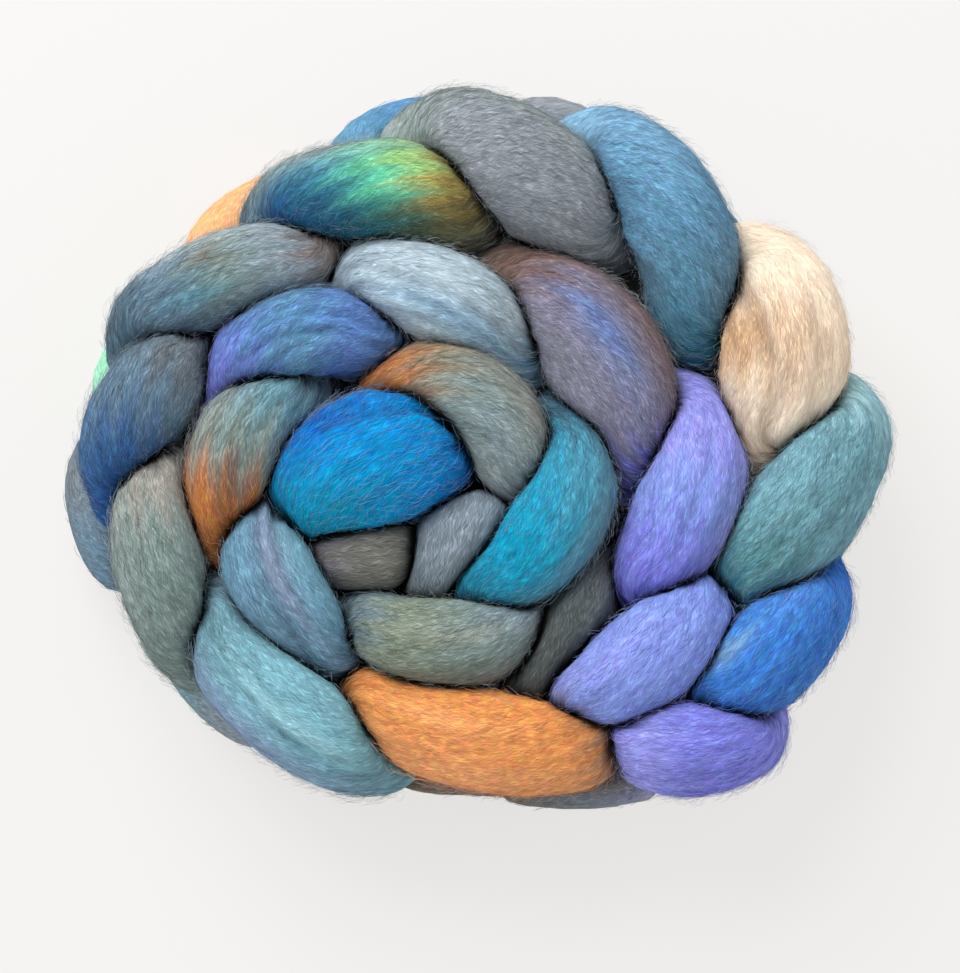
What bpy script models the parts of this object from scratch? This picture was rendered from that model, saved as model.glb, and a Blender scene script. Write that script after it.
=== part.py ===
"""Wool roving: one length of dyed combed top, plaited in three strands, stood on edge and coiled flat.

The plait winds clockwise, seen from above, from the middle of the coil outwards. Every time a
strand comes up to the upper edge of the plait it shows as a plump lobe, and between two such lobes
another strand comes round the lower edge, half a step further on.
"""

from collections import namedtuple
from math import cos, pi, radians, sin

import bmesh
import bpy
from mathutils import Vector

MM = 0.001

# One row for each lobe of the upper edge, from the middle of the coil outwards, in millimetres and
# degrees. x and y place the middle of the lobe, crown is the height of its top, heading is the way
# that it runs, length and width are its visible size, bend is how far its ends curve to its left,
# and spread is how far the lower lobe that follows it pokes out of the coil.
Lobe = namedtuple("Lobe", "x y crown heading length bend width spread")
LOBES = (
    Lobe(-29, -5, 74, 21, 40, -2, 37, 0),
    Lobe(-1, 9, 68, -38, 38, -5, 26, 0),
    Lobe(20, -22, 68, -122, 51, -9, 25, 0),
    Lobe(-8, -54, 66, 178, 47, -6, 24, 0),
    Lobe(-54, -38, 66, 115, 46, -5, 25, 0),
    Lobe(-64, -1, 67, 65, 43, -4, 26, 0),
    Lobe(-50, 30, 67, 14, 43, -6, 24, 0),
    Lobe(-9, 40, 66, -26, 50, -3, 25, 0),
    Lobe(33, 25, 67, -59, 56, -5, 32, 0),
    Lobe(56, -16, 66, -108, 50, -5, 27, 0),
    Lobe(45, -57, 66, -144, 49, -5, 27, 0),
    Lobe(-1, -78, 64, 168, 65, -7, 28, -3),
    Lobe(-56, -66, 64, 134, 56, -6, 27, 7),
    Lobe(-86, -29, 64, 99, 49, -3, 24, 14),
    Lobe(-91, 12, 65, 57, 38, -3, 25, 12),
    Lobe(-70, 46, 66, 20, 48, -2, 25, 15),
    Lobe(-28, 72, 66, -2, 50, -3, 27, 21),
    Lobe(12, 78, 67, -38, 49, -3, 32, 16),
    Lobe(54, 63, 66, -67, 57, -6, 28, 2),
    Lobe(83, 27, 66, -94, 45, -4, 35, 0),
    Lobe(87, -17, 66, -128, 54, -4, 29, -3),
    Lobe(77, -56, 65, -137, 41, -3, 26, -3),
    Lobe(56, -81, 64, -179, 32, -4, 25, 0),
)

# Plain arches of strand outside the even run of lobes: middle, outermost height, heading, length
# and width. The first show deep between the turns, the others lie on the surface below: the start
# of the plait under its middle, and its tail tucked under the last turn.
Arch = namedtuple("Arch", "x y height heading length width")
DEEP_ARCHES = (
    Arch(-30, -29, 60, -8, 26, 18),
    Arch(-6, -26, 62, 42, 34, 21),
    Arch(26, -47, 50, 40, 34, 17),
    Arch(14, -61, 48, 45, 30, 16),
)
LOW_ARCHES = (
    Arch(-14, -20, 0, 150, 30, 30),
    Arch(-36, -12, 0, 60, 24, 26),
    Arch(28, -83, 0, 172, 42, 25),
)

BOX_CENTRE = Vector((-2.1, 6.9, 0))   # middle of the whole coil in the table's own x and y
ARCH = 9.0                       # how far a lobe has sunk at its visible ends
ROOT_STEP = 13.0                 # from a lobe's visible end to its root, along the plait
ROOT_PULL = 9.0                  # from a lobe's visible end to its root, across the plait
ROOT_HEIGHT = 33.0               # mid height of the plait, where the strands cross
LOWER_AXIS = 13.0                # height of a lower lobe's axis, where it pokes out by its full spread
FLAT = 1.2                       # how deep the surface beneath flattens the lower lobes
END_WIDTH = 0.80                 # width of a lobe at its visible ends, as a share of its middle
ROOT_WIDTH = 0.72                # width of a lobe at its roots, as a share of its middle
TIP = 0.45                       # how far the rounded tip stands out, as a share of its radius

CORE_BOTTOM = 20.0               # the wool between the edges of the plait
CORE_TOP = 42.0
CORE_OUTSET = 3.0                # how far it reaches past the axis of the last turn
CORE_SPREAD = 0.35               # share of the lower lobes' spread that it follows
LAST_TURN = 11                   # row of the table where the outermost turn starts

RINGS = 14
SIDES = 16
VOXEL = 2.0                      # grain at which the crossing strands are made one body
FACES = 9000                     # triangles that the finished body keeps
TOUCH = 0.05                     # wool this close to the surface lies on it
SMOOTH_ANGLE = radians(60)

WOOL_COLOUR = (0.24, 0.36, 0.44, 1.0)
WOOL_ROUGHNESS = 0.95


def clear_scene():
    for item in list(bpy.data.objects):
        bpy.data.objects.remove(item, do_unlink=True)


def wool_material():
    material = bpy.data.materials.new("dyed_wool")
    material.use_nodes = True
    shader = material.node_tree.nodes["Principled BSDF"]
    shader.inputs["Base Color"].default_value = WOOL_COLOUR
    shader.inputs["Roughness"].default_value = WOOL_ROUGHNESS
    shader.inputs["Metallic"].default_value = 0.0
    return material


def path_direction(index):
    """Unit vector along the plait at a lobe, from the places of its neighbours."""
    before = LOBES[max(index - 1, 0)]
    after = LOBES[min(index + 1, len(LOBES) - 1)]
    return Vector((after.x - before.x, after.y - before.y, 0)).normalized()


def outward_of(along):
    """The side of the plait that faces out of the coil, which is the left of its travel."""
    return Vector((-along.y, along.x, 0))


def plan_point(lobe, station):
    """A point of the lobe's axis in plan; its visible ends are at stations -1 and 1."""
    heading = radians(lobe.heading)
    ahead = Vector((cos(heading), sin(heading), 0))
    left = Vector((-ahead.y, ahead.x, 0))
    middle = Vector((lobe.x, lobe.y, 0))
    return middle + ahead * (lobe.length / 2 * station) + left * (lobe.bend * station ** 2)


def upper_spine(index):
    """Axis points of one upper lobe from root to root, each with its radius."""
    lobe = LOBES[index]
    radius = lobe.width / 2
    along = path_direction(index)
    outward = outward_of(along)
    spine = []
    for station in (-1.0, -0.5, 0.0, 0.5, 1.0):
        point = plan_point(lobe, station)
        point.z = lobe.crown - radius - ARCH * station ** 2
        spine.append((point, radius * (1 - (1 - END_WIDTH) * station ** 2)))
    first_root = spine[0][0] - along * ROOT_STEP - outward * ROOT_PULL
    last_root = spine[-1][0] + along * ROOT_STEP + outward * ROOT_PULL
    first_root.z = last_root.z = ROOT_HEIGHT
    spine.insert(0, (first_root, radius * ROOT_WIDTH))
    spine.append((last_root, radius * ROOT_WIDTH))
    return spine


def lower_spine(index):
    """Axis points of the lower lobe that lies half a step after an upper one."""
    outward = outward_of((path_direction(index) + path_direction(index + 1)).normalized())
    height = (LOBES[index].crown + LOBES[index + 1].crown) / 2
    spine = []
    for (here, radius), (there, next_radius) in zip(upper_spine(index), upper_spine(index + 1)):
        point = (here + there) / 2
        point.z = height - point.z - FLAT
        depth = (ROOT_HEIGHT - point.z) / (ROOT_HEIGHT - LOWER_AXIS)
        point += outward * (LOBES[index].spread * depth)
        spine.append((point, (radius + next_radius) / 2))
    return spine


def arch_spine(arch, side):
    """Axis points of a plain arch, which bows up where side is 1 and down where it is -1."""
    heading = radians(arch.heading)
    ahead = Vector((cos(heading), sin(heading), 0))
    radius = arch.width / 2
    spine = []
    for station in (-1.0, -0.5, 0.0, 0.5, 1.0):
        point = Vector((arch.x, arch.y, 0)) + ahead * (arch.length / 2 * station)
        point.z = arch.height - side * (radius + ARCH * station ** 2)
        spine.append((point, radius * (1 - (1 - END_WIDTH) * station ** 2)))
    return spine


def smooth_stations(spine, count):
    """Points, directions and radii at even steps along a smooth curve through the spine."""
    knots = [0.0]
    for (here, _), (there, _) in zip(spine, spine[1:]):
        knots.append(knots[-1] + (there - here).length)
    values = [(*point, radius) for point, radius in spine]
    slopes = []
    for index in range(len(spine)):
        low = max(index - 1, 0)
        high = min(index + 1, len(spine) - 1)
        gap = knots[high] - knots[low]
        slopes.append([(values[high][axis] - values[low][axis]) / gap for axis in range(4)])
    stations = []
    for step in range(count):
        reach = knots[-1] * step / (count - 1)
        part = max(index for index in range(len(knots) - 1) if knots[index] <= reach + 1e-9)
        gap = knots[part + 1] - knots[part]
        share = (reach - knots[part]) / gap
        sample = []
        for axis in range(4):
            start = values[part][axis]
            end = values[part + 1][axis]
            rise = slopes[part][axis] * gap
            fall = slopes[part + 1][axis] * gap
            cubic = 2 * start - 2 * end + rise + fall
            square = 3 * end - 3 * start - 2 * rise - fall
            sample.append(((cubic * share + square) * share + rise) * share + start)
        stations.append((Vector(sample[:3]), sample[3]))
    directions = []
    for index in range(count):
        low = max(index - 1, 0)
        high = min(index + 1, count - 1)
        directions.append((stations[high][0] - stations[low][0]).normalized())
    return [(point, way, radius) for (point, radius), way in zip(stations, directions)]


def add_swept(mesh, spine):
    """Adds a closed round body along a spine, with a rounded tip at each end."""
    stations = smooth_stations(spine, RINGS)
    rings = []
    for point, way, radius in stations:
        side = way.cross(Vector((0, 0, 1))).normalized()
        rise = side.cross(way)
        ring = []
        for corner in range(SIDES):
            turn = 2 * pi * corner / SIDES
            place = point + (side * cos(turn) + rise * sin(turn)) * radius - BOX_CENTRE
            ring.append(mesh.verts.new(place * MM))
        rings.append(ring)
    faces = []
    for ring, following in zip(rings, rings[1:]):
        for corner in range(SIDES):
            after = (corner + 1) % SIDES
            faces.append(mesh.faces.new((ring[corner], ring[after], following[after], following[corner])))
    for ring, (point, way, radius), sign in ((rings[0], stations[0], -1), (rings[-1], stations[-1], 1)):
        tip = mesh.verts.new((point + way * (sign * TIP * radius) - BOX_CENTRE) * MM)
        for corner in range(SIDES):
            faces.append(mesh.faces.new((ring[corner], ring[(corner + 1) % SIDES], tip)))
    bmesh.ops.recalc_face_normals(mesh, faces=faces)


def add_core(mesh):
    """Adds the packed wool between the upper and lower edges, out to the last turn of the plait."""
    last_turn = LOBES[LAST_TURN:]
    middle = sum((Vector((lobe.x, lobe.y, 0)) for lobe in last_turn), Vector()) / len(last_turn)
    outline = []
    for lobe in last_turn:
        corner = Vector((lobe.x, lobe.y, 0))
        corner += (corner - middle).normalized() * (CORE_OUTSET + CORE_SPREAD * lobe.spread)
        corner.z = CORE_BOTTOM
        outline.append(mesh.verts.new((corner - BOX_CENTRE) * MM))
    base = mesh.faces.new(outline)
    grown = bmesh.ops.extrude_face_region(mesh, geom=[base])
    raised = [item for item in grown["geom"] if isinstance(item, bmesh.types.BMVert)]
    bmesh.ops.translate(mesh, verts=raised, vec=(0, 0, (CORE_TOP - CORE_BOTTOM) * MM))
    walls = [face for vertex in raised for face in vertex.link_faces]
    bmesh.ops.recalc_face_normals(mesh, faces=[base, *set(walls)])


def object_from(name, mesh):
    data = bpy.data.meshes.new(name)
    mesh.to_mesh(data)
    mesh.free()
    item = bpy.data.objects.new(name, data)
    bpy.context.scene.collection.objects.link(item)
    return item


def take_result(item):
    """Puts the modifiers' result in the place of the object's own mesh."""
    view = bpy.context.evaluated_depsgraph_get()
    result = bpy.data.meshes.new_from_object(item.evaluated_get(view))
    item.modifiers.clear()
    item.data = result


def merge_strands(item):
    """Makes the crossing strands one closed body with soft creases between them."""
    merge = item.modifiers.new("merge_strands", "REMESH")
    merge.mode = "VOXEL"
    merge.voxel_size = VOXEL * MM
    take_result(item)


def thin_faces(item):
    """Keeps only as many triangles as the shape needs."""
    triangles = sum(len(face.vertices) - 2 for face in item.data.polygons)
    thin = item.modifiers.new("thin_faces", "DECIMATE")
    thin.ratio = FACES / triangles
    take_result(item)


def rest_flat(item):
    """Presses what touches the surface, or would reach below it, flat against it."""
    for vertex in item.data.vertices:
        if vertex.co.z < TOUCH * MM:
            vertex.co.z = 0.0


def build():
    clear_scene()
    mesh = bmesh.new()
    add_core(mesh)
    for index in range(len(LOBES)):
        add_swept(mesh, upper_spine(index))
    for index in range(len(LOBES) - 1):
        add_swept(mesh, lower_spine(index))
    for arch in DEEP_ARCHES:
        add_swept(mesh, arch_spine(arch, 1))
    for arch in LOW_ARCHES:
        add_swept(mesh, arch_spine(arch, -1))
    roving = object_from("wool_roving", mesh)
    merge_strands(roving)
    rest_flat(roving)
    thin_faces(roving)
    rest_flat(roving)
    roving.data.materials.append(wool_material())
    roving.data.shade_smooth()
    roving.data.set_sharp_from_angle(angle=SMOOTH_ANGLE)


build()
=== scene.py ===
# Coiled plait of hand-dyed combed wool top.
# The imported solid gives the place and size; here it is dressed in finer lobes, combed fibres and fuzz.

from math import cos, pi, radians, sin

import bpy
import numpy as np
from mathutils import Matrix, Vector


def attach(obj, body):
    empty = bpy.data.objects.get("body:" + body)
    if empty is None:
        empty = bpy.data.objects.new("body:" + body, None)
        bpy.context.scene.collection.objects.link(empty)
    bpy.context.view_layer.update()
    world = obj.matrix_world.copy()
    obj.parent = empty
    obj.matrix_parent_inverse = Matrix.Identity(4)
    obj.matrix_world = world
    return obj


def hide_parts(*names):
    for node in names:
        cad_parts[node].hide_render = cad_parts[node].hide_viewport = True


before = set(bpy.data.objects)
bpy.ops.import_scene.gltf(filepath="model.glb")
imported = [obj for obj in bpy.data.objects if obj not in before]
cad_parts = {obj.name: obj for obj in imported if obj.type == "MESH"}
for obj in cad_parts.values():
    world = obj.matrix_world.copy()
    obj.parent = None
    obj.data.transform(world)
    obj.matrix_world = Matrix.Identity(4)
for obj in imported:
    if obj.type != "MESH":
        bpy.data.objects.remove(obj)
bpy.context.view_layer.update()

mm = 0.001
fibreMap = "OFBake"     # one map for combing and patterns
mapCell = 150.0         # each lobe has a square this wide on the map, in mm
mapSide = 6             # squares to a side of the map

# the plait

coil = {
    "centre": (-2.1, 6.9),     # middle of the coil in the table's own x and y
    "arch": 9.0,               # how far a lobe has sunk at its visible ends
    "rootStep": 13.0,          # how far a lobe's hidden root runs on along the plait
    "rootPull": 9.0,           # and towards its other side
    "rootHeight": 33.0,        # height where the roots of upper and lower lobes meet
    "lowerAxis": 13.0,         # height of a lower lobe's middle line
    "flat": 1.2,               # how far the lower lobes are pressed into the floor
    "floorGap": 0.15,
    "endWidth": 0.80,          # width at a lobe's visible ends and at its roots, as shares of the middle
    "rootWidth": 0.72,
    "lobeBlunt": 16,           # a higher power makes a blunter tip
    "archBlunt": 7,
    "tip": 0.4,                # how far its last point stands out, as a share of the radius there
    "grooveEase": 0.12,        # over how many stations a groove begins and ends
    "gap": 0.3,                # air left where two lobes press on each other
    "shoulder": 0.4,           # how deep a lobe rounds off beside its neighbour
    "shoulderReach": 2.0,
    "lean": 0.5,               # share of a narrow gap that each neighbour swells into
    "leanReach": 3.0,
    "endSlant": 20,            # how much further the fibres turn towards a lobe's ends
    "mostSlant": 1.4,          # and the most of that turn which they take at its roots
    "lowerSlant": 12,
    "upperMesh": (36, 72),     # rings and sides of a lobe
    "lowerMesh": (24, 44),
}

steepRoots = {1: (0.1, 1.0), 22: (1.0, -0.6)}       # share of the reach at a lobe's outer and inner end
slides = {12: 3, 13: 7, 14: 4, 15: 7, 16: 3}        # mm that a lower lobe lies further along
# how far the fibres turn to the left of each upper lobe's own run, in degrees
slants = (25, 28, 8, 16, 5, 15, 28, 12, 20, 5, 18, 15, 10, 16, 30, 5, 25, 42, 35, 8, 4, 6, 8)

# x, y, crown, heading, length, bend, width, spread; millimetres and degrees, from the middle outwards
lobeTable = (
    (-29, -5, 74, 21, 40, -2, 37, 0),
    (-1, 9.5, 69, -39, 43, -7, 27, 0),
    (20, -22, 68, -122, 51, -9, 25, 0),
    (-9, -54, 66, 178, 44, -6, 24, 0),
    (-54, -38, 66, 115, 46, -5, 25, 0),
    (-64, -1, 67, 65, 43, -4, 26, 0),
    (-50, 30, 67, 14, 43, -6, 24, 0),
    (-9, 40, 66, -26, 50, -3, 25, 0),
    (33, 25, 67, -59, 56, -5, 32, 0),
    (56, -16, 66, -108, 50, -5, 27, 0),
    (45, -57, 66, -144, 49, -5, 27, 0),
    (-1, -78, 64, 168, 65, -7, 28, -3),
    (-56, -66, 64, 134, 56, -6, 27, 7),
    (-86, -29, 64, 99, 49, -3, 24, 16),
    (-91, 12, 65, 57, 38, -3, 25, 12),
    (-70, 46, 66, 20, 48, -2, 25, 17),
    (-28, 72, 66, -2, 50, -3, 27, 21),
    (12, 78, 67, -38, 49, -3, 32, 16),
    (54, 63, 66, -67, 57, -6, 28, 2),
    (83, 27, 66, -94, 45, -4, 35, 0),
    (87, -17, 66, -128, 54, -4, 29, -3),
    (77, -56, 65, -137, 41, -3, 26, -3),
    (56, -81, 64, -179, 32, -4, 25, 0),
)

# plain arches: x, y, outermost height, heading, length, width, slant of the fibres, bows up or down
archTable = (
    (-29, -29, 61, -8, 34, 21, 15, 1),
    (-6, -26, 62, 42, 36, 24, 38, 1),
    (21.5, -52.5, 57.5, 53, 60, 22, 10, 1),
    (15, -62, 52, 52, 36, 20, 10, 1),
    (-14, -20, 0, 150, 30, 30, 0, -1),
    (-36, -12, 0, 60, 24, 26, 0, -1),
    (27, -83, 0, 180, 48, 25, 10, -1),
    (12, -81, 45, 180, 82, 23, 10, 1),
    (64, -72, 44, -147, 40, 22, 10, 1),
    (-88, -10, 46, 83, 62, 26, 10, 1),
    (-80, 32, 46, 50, 60, 26, 10, 1),
    (-46, 62, 46, 24, 62, 26, 10, 1),
    (-61, -61, 46, 132, 54, 24, 10, 1),
)

# long grooves: lobe, side of the lobe (-1 right to 1 left) and its drift per station,
# first and last station, depth and width in mm
grooves = (
    (0, 0.62, -0.3, -0.2, 0.9, 2.6, 2.4),
    (0, -0.15, 0, 0.45, 1.1, 1.2, 1.8),
    (4, 0.2, -0.2, -1.0, 0.6, 2.2, 1.8),
    (4, -0.3, -0.1, -0.5, 0.9, 1.8, 1.6),
    (5, -0.25, 0, -0.6, 0.6, 1.0, 1.6),
    (6, 0.25, 0, -0.2, 1.0, 1.5, 1.6),
    (6, -0.2, 0, -0.6, 0.9, 1.3, 1.6),
    (7, -0.1, 0, -0.7, 0.8, 1.5, 1.6),
    (7, -0.45, 0, -0.4, 0.9, 1.2, 1.5),
    (9, 0.1, 0, -0.5, 0.4, 0.8, 1.8),
    (11, -0.35, 0, -0.5, 0.7, 0.8, 1.8),
    (12, 0.45, -0.15, -0.9, 0.7, 1.6, 1.8),
    (19, -0.42, 0.65, -0.8, 0.9, 2.8, 2.6),
    (19, -0.05, 0.3, -0.1, 1.0, 1.2, 1.6),
    (22, -0.3, 0, -0.2, 0.9, 1.2, 1.6),
)


# places of a lobe's knots: its visible ends are at -1 and 1, its roots at -2 and 2
stations = (-2.0, -1.0, -0.5, 0.0, 0.5, 1.0, 2.0)


def unit(vectors):
    return vectors / np.linalg.norm(vectors, axis=-1, keepdims=True)


def travel(index):                     # unit vector along the plait at a lobe
    before = lobeTable[max(index - 1, 0)]
    after = lobeTable[min(index + 1, len(lobeTable) - 1)]
    return unit(np.array([after[0] - before[0], after[1] - before[1], 0.0]))


def outwardOf(along):
    return np.array([-along[1], along[0], 0.0])


def upperSpine(index):                 # knots of one upper lobe: x, y, z, radius
    x, y, crown, heading, length, bend, width, spread = lobeTable[index]
    ahead = np.array([cos(radians(heading)), sin(radians(heading)), 0.0])
    left = outwardOf(ahead)
    radius = width / 2
    knots = []
    for station in stations[1:-1]:
        place = np.array([x, y, 0.0]) + ahead * (length / 2 * station) + left * (bend * station ** 2)
        place[2] = crown - radius - coil["arch"] * station ** 2
        knots.append([*place, radius * (1 - (1 - coil["endWidth"]) * station ** 2)])
    along = travel(index)
    reach = along * coil["rootStep"] + outwardOf(along) * coil["rootPull"]
    outer, inner = steepRoots.get(index, (1.0, 1.0))
    first = np.array(knots[0][:3]) - reach * outer
    last = np.array(knots[-1][:3]) + reach * inner
    first[2] = last[2] = coil["rootHeight"]
    knots.insert(0, [*first, radius * coil["rootWidth"]])
    knots.append([*last, radius * coil["rootWidth"]])
    return np.array(knots)


def lowerSpine(index):                 # the lobe below, half a step further on
    outward = outwardOf(unit(travel(index) + travel(index + 1)))
    height = (lobeTable[index][2] + lobeTable[index + 1][2]) / 2
    knots = (upperSpine(index) + upperSpine(index + 1)) / 2
    knots[:, 2] = height - knots[:, 2] - coil["flat"]
    depth = (coil["rootHeight"] - knots[:, 2]) / (coil["rootHeight"] - coil["lowerAxis"])
    knots[:, :3] += depth[:, None] * outward * lobeTable[index][7]
    knots[:, :2] += depth[:, None] * unit(travel(index) + travel(index + 1))[:2] * slides.get(index, 0)
    return knots


def archSpine(row):                    # an arch has no roots
    x, y, height, heading, length, width, slant, side = row
    ahead = np.array([cos(radians(heading)), sin(radians(heading)), 0.0])
    knots = []
    for station in stations[1:-1]:
        place = np.array([x, y, 0.0]) + ahead * (length / 2 * station)
        place[2] = height - side * (width / 2 + coil["arch"] * station ** 2)
        knots.append([*place, width / 2 * (1 - (1 - coil["endWidth"]) * station ** 2)])
    return np.array(knots)


def rounded(radius, station, blunt):   # a lobe closes to a blunt tip at each end
    return radius * np.sqrt(np.maximum(1 - np.abs(station) ** blunt, 0.02))


def smoothLine(knots, count):          # even steps along a cubic through the knots, and their stations
    gaps = np.linalg.norm(np.diff(knots[:, :3], axis=0), axis=1)
    reach = np.concatenate([[0.0], np.cumsum(gaps)])
    after = np.minimum(np.arange(len(knots)) + 1, len(knots) - 1)
    before = np.maximum(np.arange(len(knots)) - 1, 0)
    slopes = (knots[after] - knots[before]) / (reach[after] - reach[before])[:, None]
    at = np.linspace(0, reach[-1], count)
    part = np.clip(np.searchsorted(reach, at, side="right") - 1, 0, len(gaps) - 1)
    gap = gaps[part][:, None]
    share = ((at - reach[part]) / gaps[part])[:, None]
    start, end = knots[part], knots[part + 1]
    rise, fall = slopes[part] * gap, slopes[part + 1] * gap
    line = ((2 * start - 2 * end + rise + fall) * share + 3 * end - 3 * start - 2 * rise - fall) * share
    line = (line + rise) * share + start
    return line, at, np.interp(at, reach, stations if len(knots) == len(stations) else stations[1:-1])


# dyes

dyes = {                               # sRGB, as they look under a soft white light
    "azure": "1068b8", "cyan": "0490d0", "turquoise": "1094b6", "teal": "3a86a0", "deepTeal": "1c5a72",
    "lagoon": "4c92aa", "aqua": "80b4c2", "paleAqua": "a2cad2", "ice": "aabcc6", "haze": "8c9eaa",
    "sky": "80aac6", "fog": "6a96ae", "steel": "5c8aa8", "steelGrey": "5e7e92", "slate": "4c6474",
    "slateBlue": "647e90", "navy": "22528c", "denim": "4c7096", "blue": "3c78cc", "lightBlue": "5e92d6",
    "cornflower": "5e80ba", "periwinkle": "8296dc", "lavender": "9496e2", "violet": "7c80d8",
    "iris": "5c60b8", "lilac": "8c8eb8", "mauve": "7e7c92", "heather": "8c8494", "ash": "878d94",
    "paleGrey": "aab4b8", "grey": "6c747a", "pebble": "8a9694", "sageGrey": "7a8c88",
    "lichen": "7e8878", "stone": "98968e", "warmGrey": "6c6c66", "taupe": "7e7468", "umber": "6a5c54",
    "charcoal": "4e5454", "soot": "2c3032", "seaGreen": "5a8a90", "tealGrey": "6c96a2",
    "mint": "62c8a0", "lime": "9ccc76", "mustard": "a89048", "olive": "5c5a3e", "rust": "b06c3a",
    "brown": "7c6052", "orange": "e09452", "peach": "e8aa78", "cream": "eedcc6", "sand": "d8bca0",
    "tan": "c49a70", "pewter": "76828c", "dusk": "8a8ca6", "cobalt": "3a7ac8", "fern": "42604c",
    "harbour": "4880ba", "paleMint": "98d2b2",
}

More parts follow.
